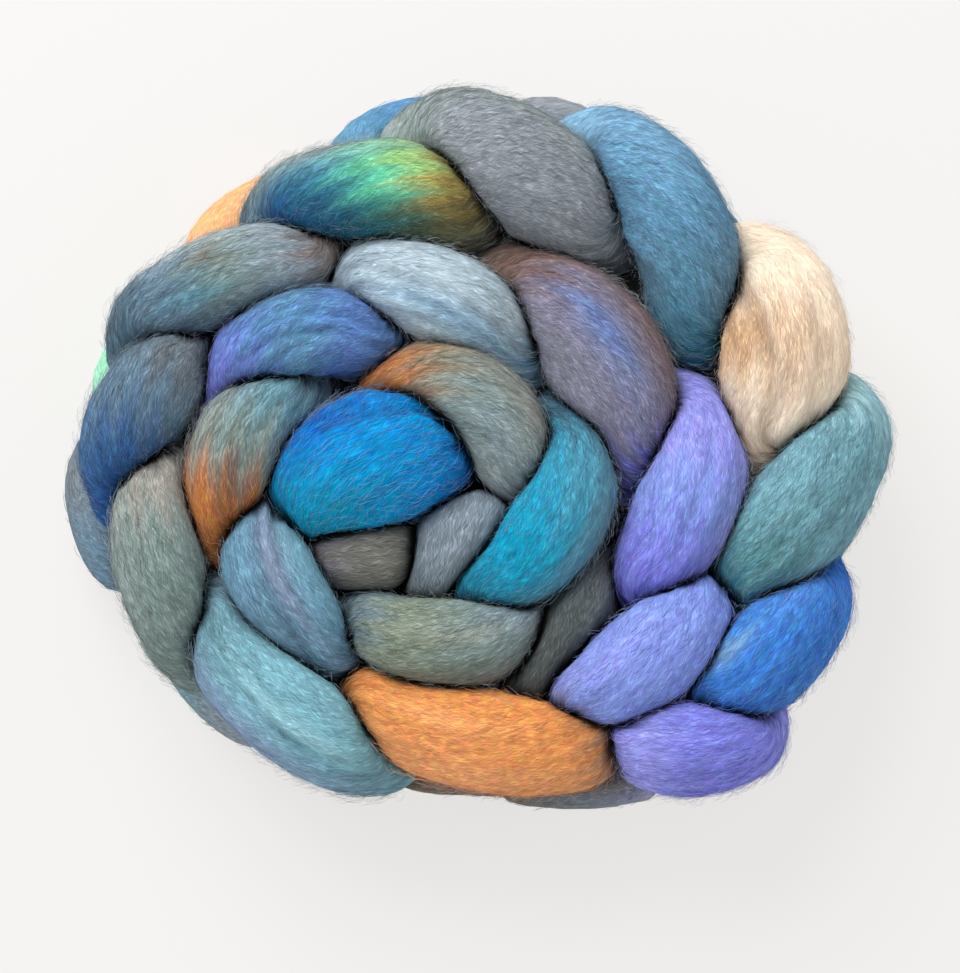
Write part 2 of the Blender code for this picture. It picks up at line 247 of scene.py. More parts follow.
# each upper lobe: its dyes from the outer end to the inner one, then washes over them:
# dye, station, side (-1 right to 1 left), reach along, reach across, strength
upperDyes = (
    (("turquoise", "cyan", "azure"), (
        ("azure", -0.3, 0.75, 0.7, 0.5, 1), ("cyan", 0.3, 0.2, 0.5, 0.4, 0.8),
        ("turquoise", -0.6, -0.6, 0.6, 0.5, 0.8))),
    (("rust", "lichen", "sageGrey", "pebble", "ash"), (
        ("stone", 0.4, 0.8, 0.7, 0.35, 0.7), ("rust", -0.95, 0, 0.5, 1.2, 0.9),
        ("haze", 0.3, -0.1, 0.5, 0.4, 0.5))),
    (("slate", "lagoon", "turquoise", "teal"), (
        ("turquoise", 0.2, -0.6, 1.0, 0.5, 0.9), ("sageGrey", -0.1, 0.95, 0.8, 0.35, 0.5))),
    (("grey", "sageGrey", "lichen", "slateBlue"), (
        ("warmGrey", -0.2, 0.9, 0.7, 0.35, 0.6), ("haze", -0.7, -0.5, 0.4, 0.5, 0.6),
        ("stone", -0.1, -0.1, 0.4, 0.25, 0.4))),
    (("steelGrey", "fog", "fog", "steelGrey"), (
        ("aqua", 0.3, -0.7, 0.6, 0.4, 0.6), ("dusk", 0.2, -0.1, 0.7, 0.3, 0.7),
        ("slateBlue", -0.4, 0.6, 0.5, 0.3, 0.6))),
    (("rust", "rust", "sageGrey", "tealGrey", "slate"), (
        ("orange", -0.75, 0.5, 0.3, 0.5, 0.5), ("umber", -0.35, -0.2, 0.25, 0.25, 0.8),
        ("stone", 0.3, 0.8, 0.6, 0.35, 0.5))),
    (("violet", "cornflower", "steel", "cornflower", "denim"), (
        ("violet", -0.85, 0.1, 0.35, 1.2, 0.6), ("lightBlue", 0.2, 0.2, 0.6, 0.4, 0.3))),
    (("haze", "ice", "ice", "haze", "steel"), (
        ("ice", 0, 0.7, 0.9, 0.5, 0.8), ("sky", 0.2, -0.45, 0.7, 0.3, 0.7),
        ("stone", 0.65, 0.5, 0.2, 0.4, 0.4))),
    (("umber", "mauve", "mauve", "mauve", "iris"), (
        ("brown", 0, 0.95, 1.0, 0.35, 0.75), ("cornflower", -0.15, 0.15, 0.5, 0.28, 0.7),
        ("brown", -0.9, 0.3, 0.4, 0.7, 0.8), ("ash", -0.1, -0.8, 0.8, 0.4, 0.4))),
    (("lavender", "lavender", "periwinkle", "violet", "iris"), (
        ("lilac", 0.1, 0.95, 0.9, 0.3, 0.5),)),
    (("cornflower", "periwinkle", "periwinkle", "periwinkle", "lilac"), (
        ("lavender", 0.4, -0.3, 0.5, 0.4, 0.5),)),
    (("taupe", "orange", "orange", "orange", "rust"), (
        ("peach", -0.1, 0.8, 0.9, 0.35, 0.6), ("peach", 0.1, 0, 0.5, 0.3, 0.4))),
    (("tealGrey", "aqua", "aqua", "tealGrey", "slateBlue"), (
        ("paleAqua", -0.3, 0.2, 0.6, 0.2, 0.5), ("lilac", -0.1, 0.95, 0.9, 0.3, 0.6))),
    (("sageGrey", "sageGrey", "sageGrey", "stone", "charcoal"), (
        ("pebble", -0.1, 0.8, 0.8, 0.35, 0.7),)),
    (("navy", "denim", "slateBlue", "grey", "slate"), (
        ("slateBlue", 0.2, 0.9, 0.7, 0.35, 0.8), ("navy", -0.7, -0.3, 0.5, 0.8, 0.8))),
    (("slate", "slateBlue", "sageGrey", "haze", "umber"), (
        ("paleGrey", 0, 0.95, 0.8, 0.35, 0.7), ("slate", -0.3, -0.9, 0.9, 0.4, 0.5),
        ("lagoon", -0.25, -0.3, 0.25, 0.3, 0.5), ("brown", -0.05, 0.4, 0.1, 0.3, 0.5),
        ("brown", 0.8, 0.2, 0.25, 0.7, 0.5))),
    (("slate", "lagoon", "mint", "mustard", "soot"), (
        ("deepTeal", -0.6, -0.3, 0.45, 0.6, 0.7), ("navy", -0.55, -0.8, 0.4, 0.35, 0.7),
        ("deepTeal", -0.1, -0.9, 0.7, 0.4, 0.9), ("lime", 0.26, 0.5, 0.2, 0.45, 1),
        ("fern", 0.45, -0.8, 0.4, 0.35, 0.8), ("olive", 0.8, -0.1, 0.25, 0.8, 0.7),
        ("navy", -1.0, -0.4, 0.3, 0.6, 0.8), ("pebble", -0.5, 0.95, 0.8, 0.5, 1))),
    (("pebble", "ash", "ash", "ash", "grey"), (
        ("pebble", -0.3, 0.9, 0.8, 0.3, 0.7),)),
    (("sky", "steel", "steel", "steelGrey", "deepTeal"), (
        ("sky", -0.6, 0.4, 0.5, 0.6, 0.5), ("teal", 0.6, -0.3, 0.4, 0.6, 0.4))),
    (("cream", "cream", "sand", "cream", "sand"), (
        ("tan", 0, -0.8, 0.5, 0.35, 0.8), ("cream", 0, 0.8, 0.9, 0.4, 0.8),
        ("sand", 0.1, -0.1, 0.6, 0.2, 0.6))),
    (("paleAqua", "tealGrey", "tealGrey", "seaGreen", "teal"), (
        ("aqua", -0.2, -0.7, 0.8, 0.4, 0.4), ("seaGreen", 0, 0.3, 0.8, 0.4, 0.3),
        ("aqua", 0, 0.95, 1.0, 0.3, 0.5))),
    (("blue", "cobalt", "cobalt", "cobalt", "denim"), (
        ("sky", 0.4, -0.6, 0.3, 0.22, 0.8), ("lightBlue", -0.7, -0.5, 0.5, 0.5, 0.5))),
    (("lavender", "violet", "violet", "lavender", "violet"), (
        ("lavender", 0.4, 0.3, 0.4, 0.5, 0.5), ("ash", 2.0, 0, 0.55, 3.0, 1))),
)

# dyes of the lower lobes from their outer, visible ends; the rest pass from one lobe's dye to the next's
lowerDyes = {
    11: ("brown", "taupe"), 12: ("ash", "tealGrey"), 13: ("slateBlue", "grey"), 14: ("paleMint", "mint"),
    15: ("peach", "peach"), 16: ("steel", "harbour"), 17: ("ash", "ash"), 18: ("steelGrey", "steel"),
    19: ("sand", "peach"), 20: ("seaGreen", "tealGrey"), 21: ("ash", "grey"),
}
archDyes = (
    ("heather", "warmGrey", "charcoal"), ("pewter", "pewter", "haze"), ("charcoal", "charcoal", "grey"),
    ("warmGrey", "warmGrey", "charcoal"), ("azure", "teal", "slate"), ("steel", "slate", "grey"),
    ("dusk", "grey", "umber"), ("grey", "umber", "taupe"), ("slate", "dusk", "grey"),
    ("grey", "slate", "grey"), ("slate", "warmGrey", "grey"), ("taupe", "grey", "slate"),
    ("slate", "grey", "slate"),
)


pureDye = 1.15                         # station past which a lobe has only its first or last dye


def linear(name):                      # a dye as scene-linear colour
    code = dyes[name]
    parts = np.array([int(code[i:i + 2], 16) for i in (0, 2, 4)]) / 255
    return np.where(parts <= 0.04045, parts / 12.92, ((parts + 0.055) / 1.055) ** 2.4)


def dyeAlong(names, station):          # smooth passage through a row of dyes
    stops = np.array([linear(name) for name in names])
    at = np.interp(station, (-pureDye, pureDye), (0, len(stops) - 1))
    low = np.clip(np.floor(at).astype(int), 0, len(stops) - 2)
    share = (at - low)[..., None]
    share = share * share * (3 - 2 * share)
    return stops[low] * (1 - share) + stops[low + 1] * share


# fine lobes

lobes = []                             # every lobe with its line, skin and dyes, in mm
swelling = {                           # mm
    "rows": ((19.0, 0.5), (9.0, 0.35), (5.2, 0.18), (3.1, 0.08)),    # width and height
    "drift": 0.12,         # how far a swell leans to either side, for each mm along
    "bow": (1.4, 14),      # how far it bends, and on what length
    "wane": (0.35, 11),    # share of its height that comes and goes, and on what length
}
creepRows = ((7.3, 0.10), (2.9, 0.06))               # width in mm, and how many stations a dye creeps


def swells(luck, along, around):       # soft lengthwise swells of a lobe, in mm
    total = np.zeros(np.broadcast(along, around).shape)
    bend, bendLength = swelling["bow"]
    wane, waneLength = swelling["wane"]
    for wide, high in swelling["rows"]:
        turn = luck.uniform(0, 2 * pi, 3)
        drift = luck.uniform(-swelling["drift"], swelling["drift"])
        bow = bend * np.sin(along / bendLength + turn[1])
        total += high * np.sin(2 * pi * (around + drift * along + bow) / wide + turn[0]) \
            * (1 - wane + wane * np.sin(along / waneLength + turn[2]))
    return total


def grooveDepth(index, station, across, radius):
    depth, ease = 0.0, coil["grooveEase"]
    for lobe, middle, drift, first, last, deep, wide in grooves:
        if lobe == index:
            side = middle + drift * station
            window = 1 / (1 + np.exp((first - station) / ease)) / (1 + np.exp((station - last) / ease))
            depth = depth + deep * window * np.exp(-((across - side) * radius / wide) ** 2)
    return depth


def addLobe(group, knots, names, washes, seam, slant, index=-1):
    luck = np.random.default_rng(len(lobes) + 11)
    rings, sides = coil[group + "Mesh"]
    slant = radians(slant)
    line, at, station = smoothLine(knots, rings)
    centre, radius = line[:, :3], line[:, 3]
    blunt = coil["lobeBlunt"] if len(knots) == len(stations) else coil["archBlunt"]
    radius = rounded(radius, station / station.max(), blunt)
    way = unit(np.gradient(centre, axis=0))
    right = unit(np.cross(way, (0.0, 0.0, 1.0)))
    rise = np.cross(right, way)
    turn = seam + 2 * pi * np.arange(sides + 1) / sides
    out = right[:, None] * np.cos(turn)[:, None] + rise[:, None] * np.sin(turn)[:, None]
    sweep = rise[:, None] * np.cos(turn)[:, None] - right[:, None] * np.sin(turn)[:, None]
    across = np.broadcast_to(-np.cos(turn), out.shape[:2])
    girth = radius.max() * 2 * pi
    along = np.broadcast_to((at - at[-1] / 2)[:, None], out.shape[:2])
    around = np.broadcast_to(girth * (np.arange(sides + 1) / sides - 0.5), out.shape[:2])
    turned = slant + radians(coil["endSlant"]) * np.minimum(station ** 2, coil["mostSlant"])[:, None]
    combed = along * cos(slant) + around * sin(slant)
    # summed along the lobe, a turn that grows with the square comes to a third
    crossed = around * cos(slant) - along * sin(slant) - (turned - slant) * along / 3
    # the swells meet at the seam, because they fade out towards it
    fade = np.sin(pi * np.arange(sides + 1) / sides) ** 0.5
    relief = swells(luck, combed, crossed) * fade
    pleat = np.zeros(across.shape) + grooveDepth(index, station[:, None], across, radius[:, None])
    relief -= pleat
    skin = centre[:, None] + out * (radius[:, None] + relief)[..., None]
    # dyes creep further along some fibres than along others
    creep = sum(far * np.sin(2 * pi * crossed / wide + luck.uniform(0, 6)) for wide, far in creepRows)
    place = station[:, None] + creep
    dye = dyeAlong(names, place)
    for name, washStation, side, reachAlong, reachAcross, strength in washes:
        share = strength * np.exp(
            -((place - washStation) / reachAlong) ** 2 - ((across - side) / reachAcross) ** 2)
        dye = dye * (1 - share[..., None]) + linear(name) * share[..., None]
    cell = sum(lobe["group"] == group for lobe in lobes)
    lobes.append({
        "group": group, "centre": centre, "radius": radius, "station": station, "skin": skin[:, :-1],
        "out": out[:, :-1], "dye": dye[:, :-1], "sides": sides, "rings": rings, "way": way,
        "pleat": pleat[:, :-1],
        "grain": (way[:, None] * np.cos(turned)[..., None] + sweep * np.sin(turned)[..., None])[:, :-1],
        "mapU": (combed / mapCell + 0.5 + cell % mapSide) / mapSide,
        "mapV": (crossed / mapCell + 0.5 + cell // mapSide) / mapSide,
    })


def clearance(points, other):          # how far points lie outside another lobe, in mm
    gaps = np.linalg.norm(points[:, None] - other["centre"][None], axis=2) - other["radius"]
    return gaps.min(axis=1)


def blurred(field):                    # a light blur, round the lobe and along it
    field = (np.roll(field, 1, 1) + 2 * field + np.roll(field, -1, 1)) / 4
    padded = np.concatenate([field[:1], field, field[-1:]])
    return (padded[:-2] + 2 * padded[1:-1] + padded[2:]) / 4


pressing = {
    "near": 3,             # mm round a lobe in which another can touch it
    "farOff": 30.0,        # mm that stand for nothing near
    "least": 0.05,         # share of its radius that a lobe always keeps
    "halvings": 8,
    "free": 0.99,          # share of its radius above which a lobe counts as open
    "easing": 0.01,        # share that the blur may give back to a pressed lobe
}


def pressTogether():                   # neighbours share the room where they meet, and round off there
    near = pressing["near"]
    boxes = [(lobe["skin"].min((0, 1)) - near, lobe["skin"].max((0, 1)) + near) for lobe in lobes]
    for index, lobe in enumerate(lobes):
        shape = lobe["skin"].shape[:2]
        points = lobe["skin"].reshape(-1, 3)
        axis = np.repeat(lobe["centre"], shape[1], axis=0)
        reach = np.linalg.norm(points - axis, axis=1)
        share = np.ones(len(points))
        nearest = np.full(len(points), pressing["farOff"])
        for other, (low, high) in zip(lobes, boxes):
            if other is lobe or (boxes[index][0] > high).any() or (boxes[index][1] < low).any():
                continue
            close = np.nonzero(((points > low) & (points < high)).all(1))[0]
            if not len(close):
                continue
            gap = clearance(points[close], other)
            nearest[close] = np.minimum(nearest[close], gap)
            hit = close[gap < coil["gap"]]
            least, most = np.full(len(hit), pressing["least"]), np.ones(len(hit))
            # halve the range until the skin stops half-way through the overlap
            for _ in range(pressing["halvings"]):
                middle = (least + most) / 2
                trial = axis[hit] + (points[hit] - axis[hit]) * middle[:, None]
                past = (middle - 1) * reach[hit] > clearance(trial, other) - coil["gap"]
                most = np.where(past, middle, most)
                least = np.where(past, least, middle)
            share[hit] = np.minimum(share[hit], least)
        pressed = share.reshape(shape)
        free = pressed > pressing["free"]
        nearest = nearest.reshape(shape)
        apart = np.maximum(nearest - coil["gap"], 0)
        change = coil["lean"] * apart * np.exp(-apart / coil["leanReach"]) * free \
            - coil["shoulder"] * np.exp(-np.abs(nearest) / coil["shoulderReach"])
        eased = np.minimum(blurred(pressed), pressed + pressing["easing"])
        eased = eased + blurred(change) / reach.reshape(shape)
        lobe["open"] = free
        lobe["nearest"] = np.maximum(nearest, 0)
        lobe["pressed"] = blurred(eased)
    for lobe in lobes:
        centre = lobe["centre"][:, None]
        lobe["skin"] = centre + (lobe["skin"] - centre) * lobe["pressed"][..., None]
        lobe["skin"][..., 2] = np.maximum(lobe["skin"][..., 2], coil["floorGap"])


lightness = (0.3, 0.5, 0.2)            # shares of red, green and blue
covering = {
    "nearShade": (0.6, 0.9),   # how dark the painted shade in a crease is, and over how many mm that fades
    "wideShade": (0.4, 3.8),
    "pleatShade": 0.13,        # painted shade in a pleat, for each mm of its depth
    "paleLoss": 0.8,           # share of the fibres that a white dye would lose
    "combedLoss": 0.8,         # and that a crease loses
    "fuzzLoss": 0.65,
    "combedTop": 0.38,         # share of the combed fibres that only the top of a lobe has
    "fuzz": (0.25, 1.3),       # everywhere, and more on its sides
    "lowest": -0.75,           # no fuzz where the skin turns down further than this
    "farthest": 1.45,          # station past which a root grows no fibres
}


def fibreCover(lobe):                  # how thickly fibres and fuzz grow, and how much painted shade a crease gets
    height = lobe["out"][..., 2]
    shade = sum(dark * np.exp(-lobe["nearest"] / reach)
                for dark, reach in (covering["nearShade"], covering["wideShade"]))
    shown = lobe["open"] * (np.abs(lobe["station"]) < covering["farthest"])[:, None]
    shown = shown * (1 - covering["paleLoss"] * lobe["dye"] @ lightness)
    combed = shown * (1 - covering["combedLoss"] * shade)
    combed *= 1 - covering["combedTop"] + covering["combedTop"] * height
    everywhere, sideways = covering["fuzz"]
    loose = shown * (everywhere + sideways * (1 - height ** 2)) * (1 - covering["fuzzLoss"] * shade)
    # painted shade in creases and pleats, in full where a lobe is pressed shut
    depth = np.where(lobe["open"], np.minimum(shade + covering["pleatShade"] * lobe["pleat"], 1), 1.0)
    return combed, loose * (height > covering["lowest"]), depth


def placed(name, data):                # a new object in the scene
    thing = bpy.data.objects.new(name, data)
    bpy.context.scene.collection.objects.link(thing)
    return thing


def keep(mesh, label, kind, values):   # store an attribute on a mesh's points
    form = {"color": "FLOAT_COLOR", "value": "FLOAT", "vector": "FLOAT_VECTOR"}[kind]
    mesh.attributes.new(label, form, "POINT").data.foreach_set(kind, values.astype(np.float32).ravel())


def skinMesh(name, group):             # one closed mesh of a group of lobes
    points, faces, maps, dye, cover, stray, paintedCreaseShade, grain = [], [], [], [], [], [], [], []
    count = 0
    for lobe in lobes:
        if lobe["group"] != group:
            continue
        rings, sides = lobe["rings"], lobe["sides"]
        number = count + np.arange(rings * sides).reshape(rings, sides)
        after = np.roll(number, -1, axis=1)
        faces += np.stack([number[:-1], number[1:], after[1:], after[:-1]], -1).reshape(-1, 4).tolist()
        flat = np.stack([lobe["mapU"], lobe["mapV"]], -1)
        corners = (flat[:-1, :-1], flat[1:, :-1], flat[1:, 1:], flat[:-1, 1:])
        maps.append(np.stack(corners, 2).reshape(-1, 2))
        ends = []
        for ring, sign in ((0, -1), (rings - 1, 1)):
            tip = count + rings * sides + len(ends)
            step = sign * coil["tip"] * lobe["radius"][ring]
            ends.append(lobe["centre"][ring] + lobe["way"][ring] * step)
            here, there = number[ring], after[ring]
            mapHere, mapThere = flat[ring, :-1], flat[ring, 1:]
            mapTip = (mapHere + mapThere) / 2
            if sign > 0:
                here, there, mapHere, mapThere = there, here, mapThere, mapHere
            faces += np.stack([np.full(sides, tip), here, there], -1).tolist()
            maps.append(np.stack([mapTip, mapHere, mapThere], 1).reshape(-1, 2))
        points += [lobe["skin"].reshape(-1, 3), np.array(ends)]
        combed, loose, depth = fibreCover(lobe)
        cover += [combed.reshape(-1), np.zeros(2)]
        stray += [loose.reshape(-1), np.zeros(2)]
        # painted crease shade, in full at the two tips
        paintedCreaseShade += [depth.reshape(-1), np.ones(2)]
        dye += [lobe["dye"].reshape(-1, 3), lobe["dye"][[0, -1], 0]]
        grain += [lobe["grain"].reshape(-1, 3), lobe["way"][[0, -1]]]
        count += rings * sides + 2
    points = np.concatenate(points) - (*coil["centre"], 0)
    mesh = bpy.data.meshes.new(name)
    mesh.from_pydata((points * mm).tolist(), [], faces)
    layout = np.concatenate(maps).astype(np.float32).ravel()
    mesh.uv_layers.new(name=fibreMap).uv.foreach_set("vector", layout)
    keep(mesh, "dye", "color", np.concatenate([np.concatenate(dye), np.ones((count, 1))], axis=1))
    for label, values in (("cover", cover), ("stray", stray), ("paintedCreaseShade", paintedCreaseShade)):
        keep(mesh, label, "value", np.concatenate(values))
    keep(mesh, "grain", "vector", np.concatenate(grain))
    mesh.shade_smooth()
    return placed(name, mesh)


for index in range(len(lobeTable)):
    addLobe("upper", upperSpine(index), *upperDyes[index], -pi / 2, slants[index], index)
for index in range(len(lobeTable) - 1):
    before = lowerDyes.get(index, upperDyes[max(index - 1, 0)][0][-1:])
    after = upperDyes[min(index + 2, len(lobeTable) - 1)][0][0]
    addLobe("lower", lowerSpine(index), (*before, after), (), pi / 2, coil["lowerSlant"])
for row, names in zip(archTable, archDyes):
    addLobe("lower", archSpine(row), names, (), -pi / 2 * row[-1], row[-2])
pressTogether()
upperLobes = skinMesh("upperLobes", "upper")
lowerLobes = skinMesh("lowerLobes", "lower")
print("lobes:", len(lobes), "faces:", len(upperLobes.data.polygons) + len(lowerLobes.data.polygons))

# node helpers


class Wire:                            # one socket's value, for sums written as Python
    def __init__(self, sheet, end):
        self.sheet = sheet
        self.end = end

    def joined(self, other, operation, swapped=False):
        pair = (other, self) if swapped else (self, other)
        wide = any(x.end.type == "VECTOR" if isinstance(x, Wire) else isinstance(x, tuple) for x in pair)
        kind = "ShaderNodeVectorMath" if wide else "ShaderNodeMath"
        return self.sheet.add(kind, {"operation": operation}, {0: pair[0], 1: pair[1]})

    def __add__(self, other):
        return self.joined(other, "ADD")

    def __sub__(self, other):
        return self.joined(other, "SUBTRACT")

    def __rsub__(self, other):
        return self.joined(other, "SUBTRACT", True)

    def __mul__(self, other):
        return self.joined(other, "MULTIPLY")

    def __pow__(self, other):
        return self.joined(other, "POWER")

    __radd__ = __add__
    __rmul__ = __mul__


class Sheet:                           # a node tree that is written from left to right
    def __init__(self, tree):
        self.tree = tree

    def add(self, kind, settings=None, values=None, out=None):
        node = self.tree.nodes.new(kind)
        for key, value in (settings or {}).items():
            setattr(node, key, value)
        for key, value in (values or {}).items():
            socket = node.inputs[key] if isinstance(key, int) else next(
                x for x in node.inputs if x.enabled and x.name == key)
            if isinstance(value, Wire):
                self.tree.links.new(value.end, socket)
            elif socket.type == "VECTOR" and not isinstance(value, tuple):
                socket.default_value = (value, value, value)
            else:
                socket.default_value = value
        ends = [x for x in node.outputs if x.enabled and (out is None or x.name == out)]
        return Wire(self, ends[0]) if ends else node

    def attribute(self, name, out):    # a named attribute in a material
        return self.add("ShaderNodeAttribute", {"attribute_name": name}, out=out)

    def named(self, name, kind="FLOAT_VECTOR"):        # a named attribute in a geometry tree
        return self.add("GeometryNodeInputNamedAttribute", {"data_type": kind}, {"Name": name})

    def stored(self, geometry, name, value, kind="FLOAT_VECTOR", domain="POINT"):
        return self.add("GeometryNodeStoreNamedAttribute", {"data_type": kind, "domain": domain},
                        {"Geometry": geometry, "Name": name, "Value": value})

    def parts(self, vector):
        node = self.tree.nodes.new("ShaderNodeSeparateXYZ")
        self.tree.links.new(vector.end, node.inputs[0])
        return [Wire(self, end) for end in node.outputs]

    def maths(self, operation, *values):
        return self.add("ShaderNodeMath", {"operation": operation}, dict(enumerate(values)))

    def mixed(self, first, second, share):
        return self.add("ShaderNodeMix", {"data_type": "RGBA"}, {"Factor": share, "A": first, "B": second})

    def vector(self, x, y, z=0.0):
        return self.add("ShaderNodeCombineXYZ", {}, {"X": x, "Y": y, "Z": z})


# materials

combedWool = {
    "roughness": 0.85,
    # each layer: lean in degrees, fibres to a mm, how much longer than wide, place on the noise
    "grain": ((8, 3.8, 7.0, 11.0), (-5, 2.4, 12.0, 87.0)),
    "hairs": ((2, 2.2, 14.0, 31.0), (-18, 2.2, 13.0, 143.0), (22, 2.0, 12.0, 263.0)),
    "bundles": (0, 0.4, 6.0, 7.0),
    "grainContrast": 0.2,     # light and dark fibres side by side
    "hairSharpness": 12.0,
    "hairContrast": 0.6,      # single light hairs on top
    "bundleContrast": 0.1,    # lighter and darker bundles of fibres
    "paleCalm": 0.85,         # how much less of all that a pale dye shows
    "hueDrift": 0.02,         # how far the hue wanders
    "creaseShadePaint": 0.85,       # how dark the painted shade in the creases is
    "creaseCurve": 1.3,       # a higher power keeps the painted shade to the bottom of a crease
    "contrast": 1.1,          # share of the contrasts that a black dye would show
    "hairCover": 0.3,         # the average of the hairs, which leaves the dye as light as it was
    "curl": 0.38,             # mm that the fibres curl to each side
    # waves to a mm along and across, and place on the noise
    "curlWaves": ((0.38, 0.5, 0.0), (0.45, 0.42, 50.0)),
    "bump": 0.08,             # mm
    "bumpStrength": 0.8,
    "bumpShares": (0.4, 0.3),  # of the grain and of the hairs
    "sheen": 0.04,
}


def noise(sheet, x, y):
    return sheet.add("ShaderNodeTexNoise", {"noise_dimensions": "2D"}, {
        "Vector": sheet.vector(x, y), "Scale": 1.0, "Detail": 0.0})


def streaks(sheet, along, around, layer):    # noise drawn out along the fibres, leaning to one side
    lean, fineness, stretch, place = layer
    a = along * cos(radians(lean)) + around * sin(radians(lean))
    b = around * cos(radians(lean)) - along * sin(radians(lean))
    return noise(sheet, a * (fineness / stretch) + place, b * fineness)


def thinLines(sheet, field):           # bright lines where a noise passes its middle value
    away = sheet.maths("ABSOLUTE", field - 0.5)
    return sheet.maths("MAXIMUM", 1.0 - away * combedWool["hairSharpness"], 0.0)


def toned(sheet, dye, change, creaseShadePaint):   # less change on paler dyes, and painted shade in the creases
    pale = sheet.add("ShaderNodeVectorMath", {"operation": "DOT_PRODUCT"}, {0: dye, 1: lightness}, "Value")
    paintedCreaseShade = sheet.attribute("paintedCreaseShade", "Fac")
    shown = change * (combedWool["contrast"] - pale * combedWool["paleCalm"]) + 1.0
    # painted shade: the colour darkens where a crease is
    return shown * (1.0 - paintedCreaseShade ** combedWool["creaseCurve"] * creaseShadePaint)


def paint(name, roughness):            # a plain material and its shader
    material = bpy.data.materials.new(name)
    material.use_nodes = True
    shader = material.node_tree.nodes["Principled BSDF"]
    shader.inputs["Roughness"].default_value = roughness
    return material, shader


def dyed(sheet, shader, hue, saturation, tone, dye):   # wool of a dye that is shifted a little
    tint = sheet.add("ShaderNodeHueSaturation", {}, {
        "Hue": hue + 0.5, "Saturation": saturation, "Value": tone, "Color": dye})
    sheet.tree.links.new(tint.end, shader.inputs["Base Color"])
    shader.inputs["Specular IOR Level"].default_value = combedWool["sheen"]


def woolMaterial():
    material, shader = paint("combedWool", combedWool["roughness"])
    sheet = Sheet(material.node_tree)
    size = mapCell * mapSide
    flat = sheet.add("ShaderNodeUVMap", {"uv_map": fibreMap}) * size
    along, around, _ = sheet.parts(flat)
    curl, back = [noise(sheet, along * lengthwise + place, around * crosswise) - 0.5
                  for lengthwise, crosswise, place in combedWool["curlWaves"]]
    around = around + curl * (combedWool["curl"] * 2)
    along = along + back * (combedWool["curl"] * 2)
    short, long = [streaks(sheet, along, around, layer) for layer in combedWool["grain"]]
    grain = short + long
    fields = [streaks(sheet, along, around, layer) for layer in combedWool["hairs"]]
    straight, left, right = [thinLines(sheet, field) for field in fields]
    hairs = straight + left + right
    bundle = streaks(sheet, along, around, combedWool["bundles"])
    dye = sheet.attribute("dye", "Color")
    change = (grain - 1.0) * combedWool["grainContrast"]
    change = change + (bundle - 0.5) * combedWool["bundleContrast"]
    change = change + (hairs - combedWool["hairCover"]) * combedWool["hairContrast"]
    tone = toned(sheet, dye, change, combedWool["creaseShadePaint"])
    dyed(sheet, shader, (curl + back) * combedWool["hueDrift"], 1.0, tone, dye)
    grainShare, hairShare = combedWool["bumpShares"]
    bump = sheet.add("ShaderNodeBump", {}, {
        "Height": grain * grainShare + hairs * hairShare + bundle,
        "Strength": combedWool["bumpStrength"],
        "Distance": combedWool["bump"] * mm,
    })
    sheet.tree.links.new(bump.end, shader.inputs["Normal"])
    return material


fibreLooks = {
    "roughness": 0.8,
    "hueDrift": 0.02,
    "washedOut": 0.25,        # share of the colour that the palest fibres lack
    "darkest": 0.7,           # share of the dye's lightness on the darkest fibres
    "lightest": 1.5,
    "creaseShadePaint": 0.1,        # how dark the painted shade in the creases is
    "pale": 0.1,              # painted light: how far fibres turn towards pale grey where they stand out, as if lit through
}
fuzzLooks = fibreLooks | {"darkest": 0.95, "lightest": 1.4, "creaseShadePaint": 0.0, "pale": 0.55}


def fibreMaterial(name, looks):
    material, shader = paint(name, looks["roughness"])
    sheet = Sheet(material.node_tree)
    first, second, third = sheet.parts(sheet.attribute("luck", "Vector"))
    spread = looks["lightest"] - looks["darkest"]
    dye = sheet.attribute("dye", "Color")
    # a product of two draws, so that light fibres are rarer than dark ones
    change = first * (second * 0.5 + 0.5) * spread + (looks["darkest"] - 1.0)
    tone = toned(sheet, dye, change, looks["creaseShadePaint"])
    # painted light: where fibres stand out they turn pale grey, as if light shone through them
    paintedBacklitDye = sheet.mixed(dye, (*linear("paleGrey"), 1.0), sheet.attribute("stray", "Fac") * looks["pale"])
    saturation = 1.0 - third * looks["washedOut"]
    dyed(sheet, shader, (second - 0.5) * looks["hueDrift"], saturation, tone, paintedBacklitDye)
    return material


# combed fibres and fuzz

fibreRow = 128                         # fibres side by side on their map
fibreFloor = 0.3 * mm                  # no fibre comes nearer to the floor
variety = {                            # least share and spread, from fibre to fibre
    "length": (0.55, 0.9),
    "thickness": (0.6, 0.8),
    "curls": (0.6, 1.0),
    "wander": (0.4, 1.0),
}
treeInputs = (
    ("Geometry", "Geometry"), ("Where", "String"), ("Density", "Float"), ("Length", "Float"),
    ("Thickness", "Float"), ("Lift", "Float"), ("Tips", "Float"), ("Arcs", "Float"), ("Rarity", "Float"),
    ("Wander", "Float"), ("Curls", "Float"), ("Slope", "Float"), ("Bends", "Int"), ("Seed", "Int"),
    ("Material", "Material"),
)


def varied(draw, label):               # a fibre's own share, from a random draw of 0 to 1
    least, spread = variety[label]
    return draw * spread + least


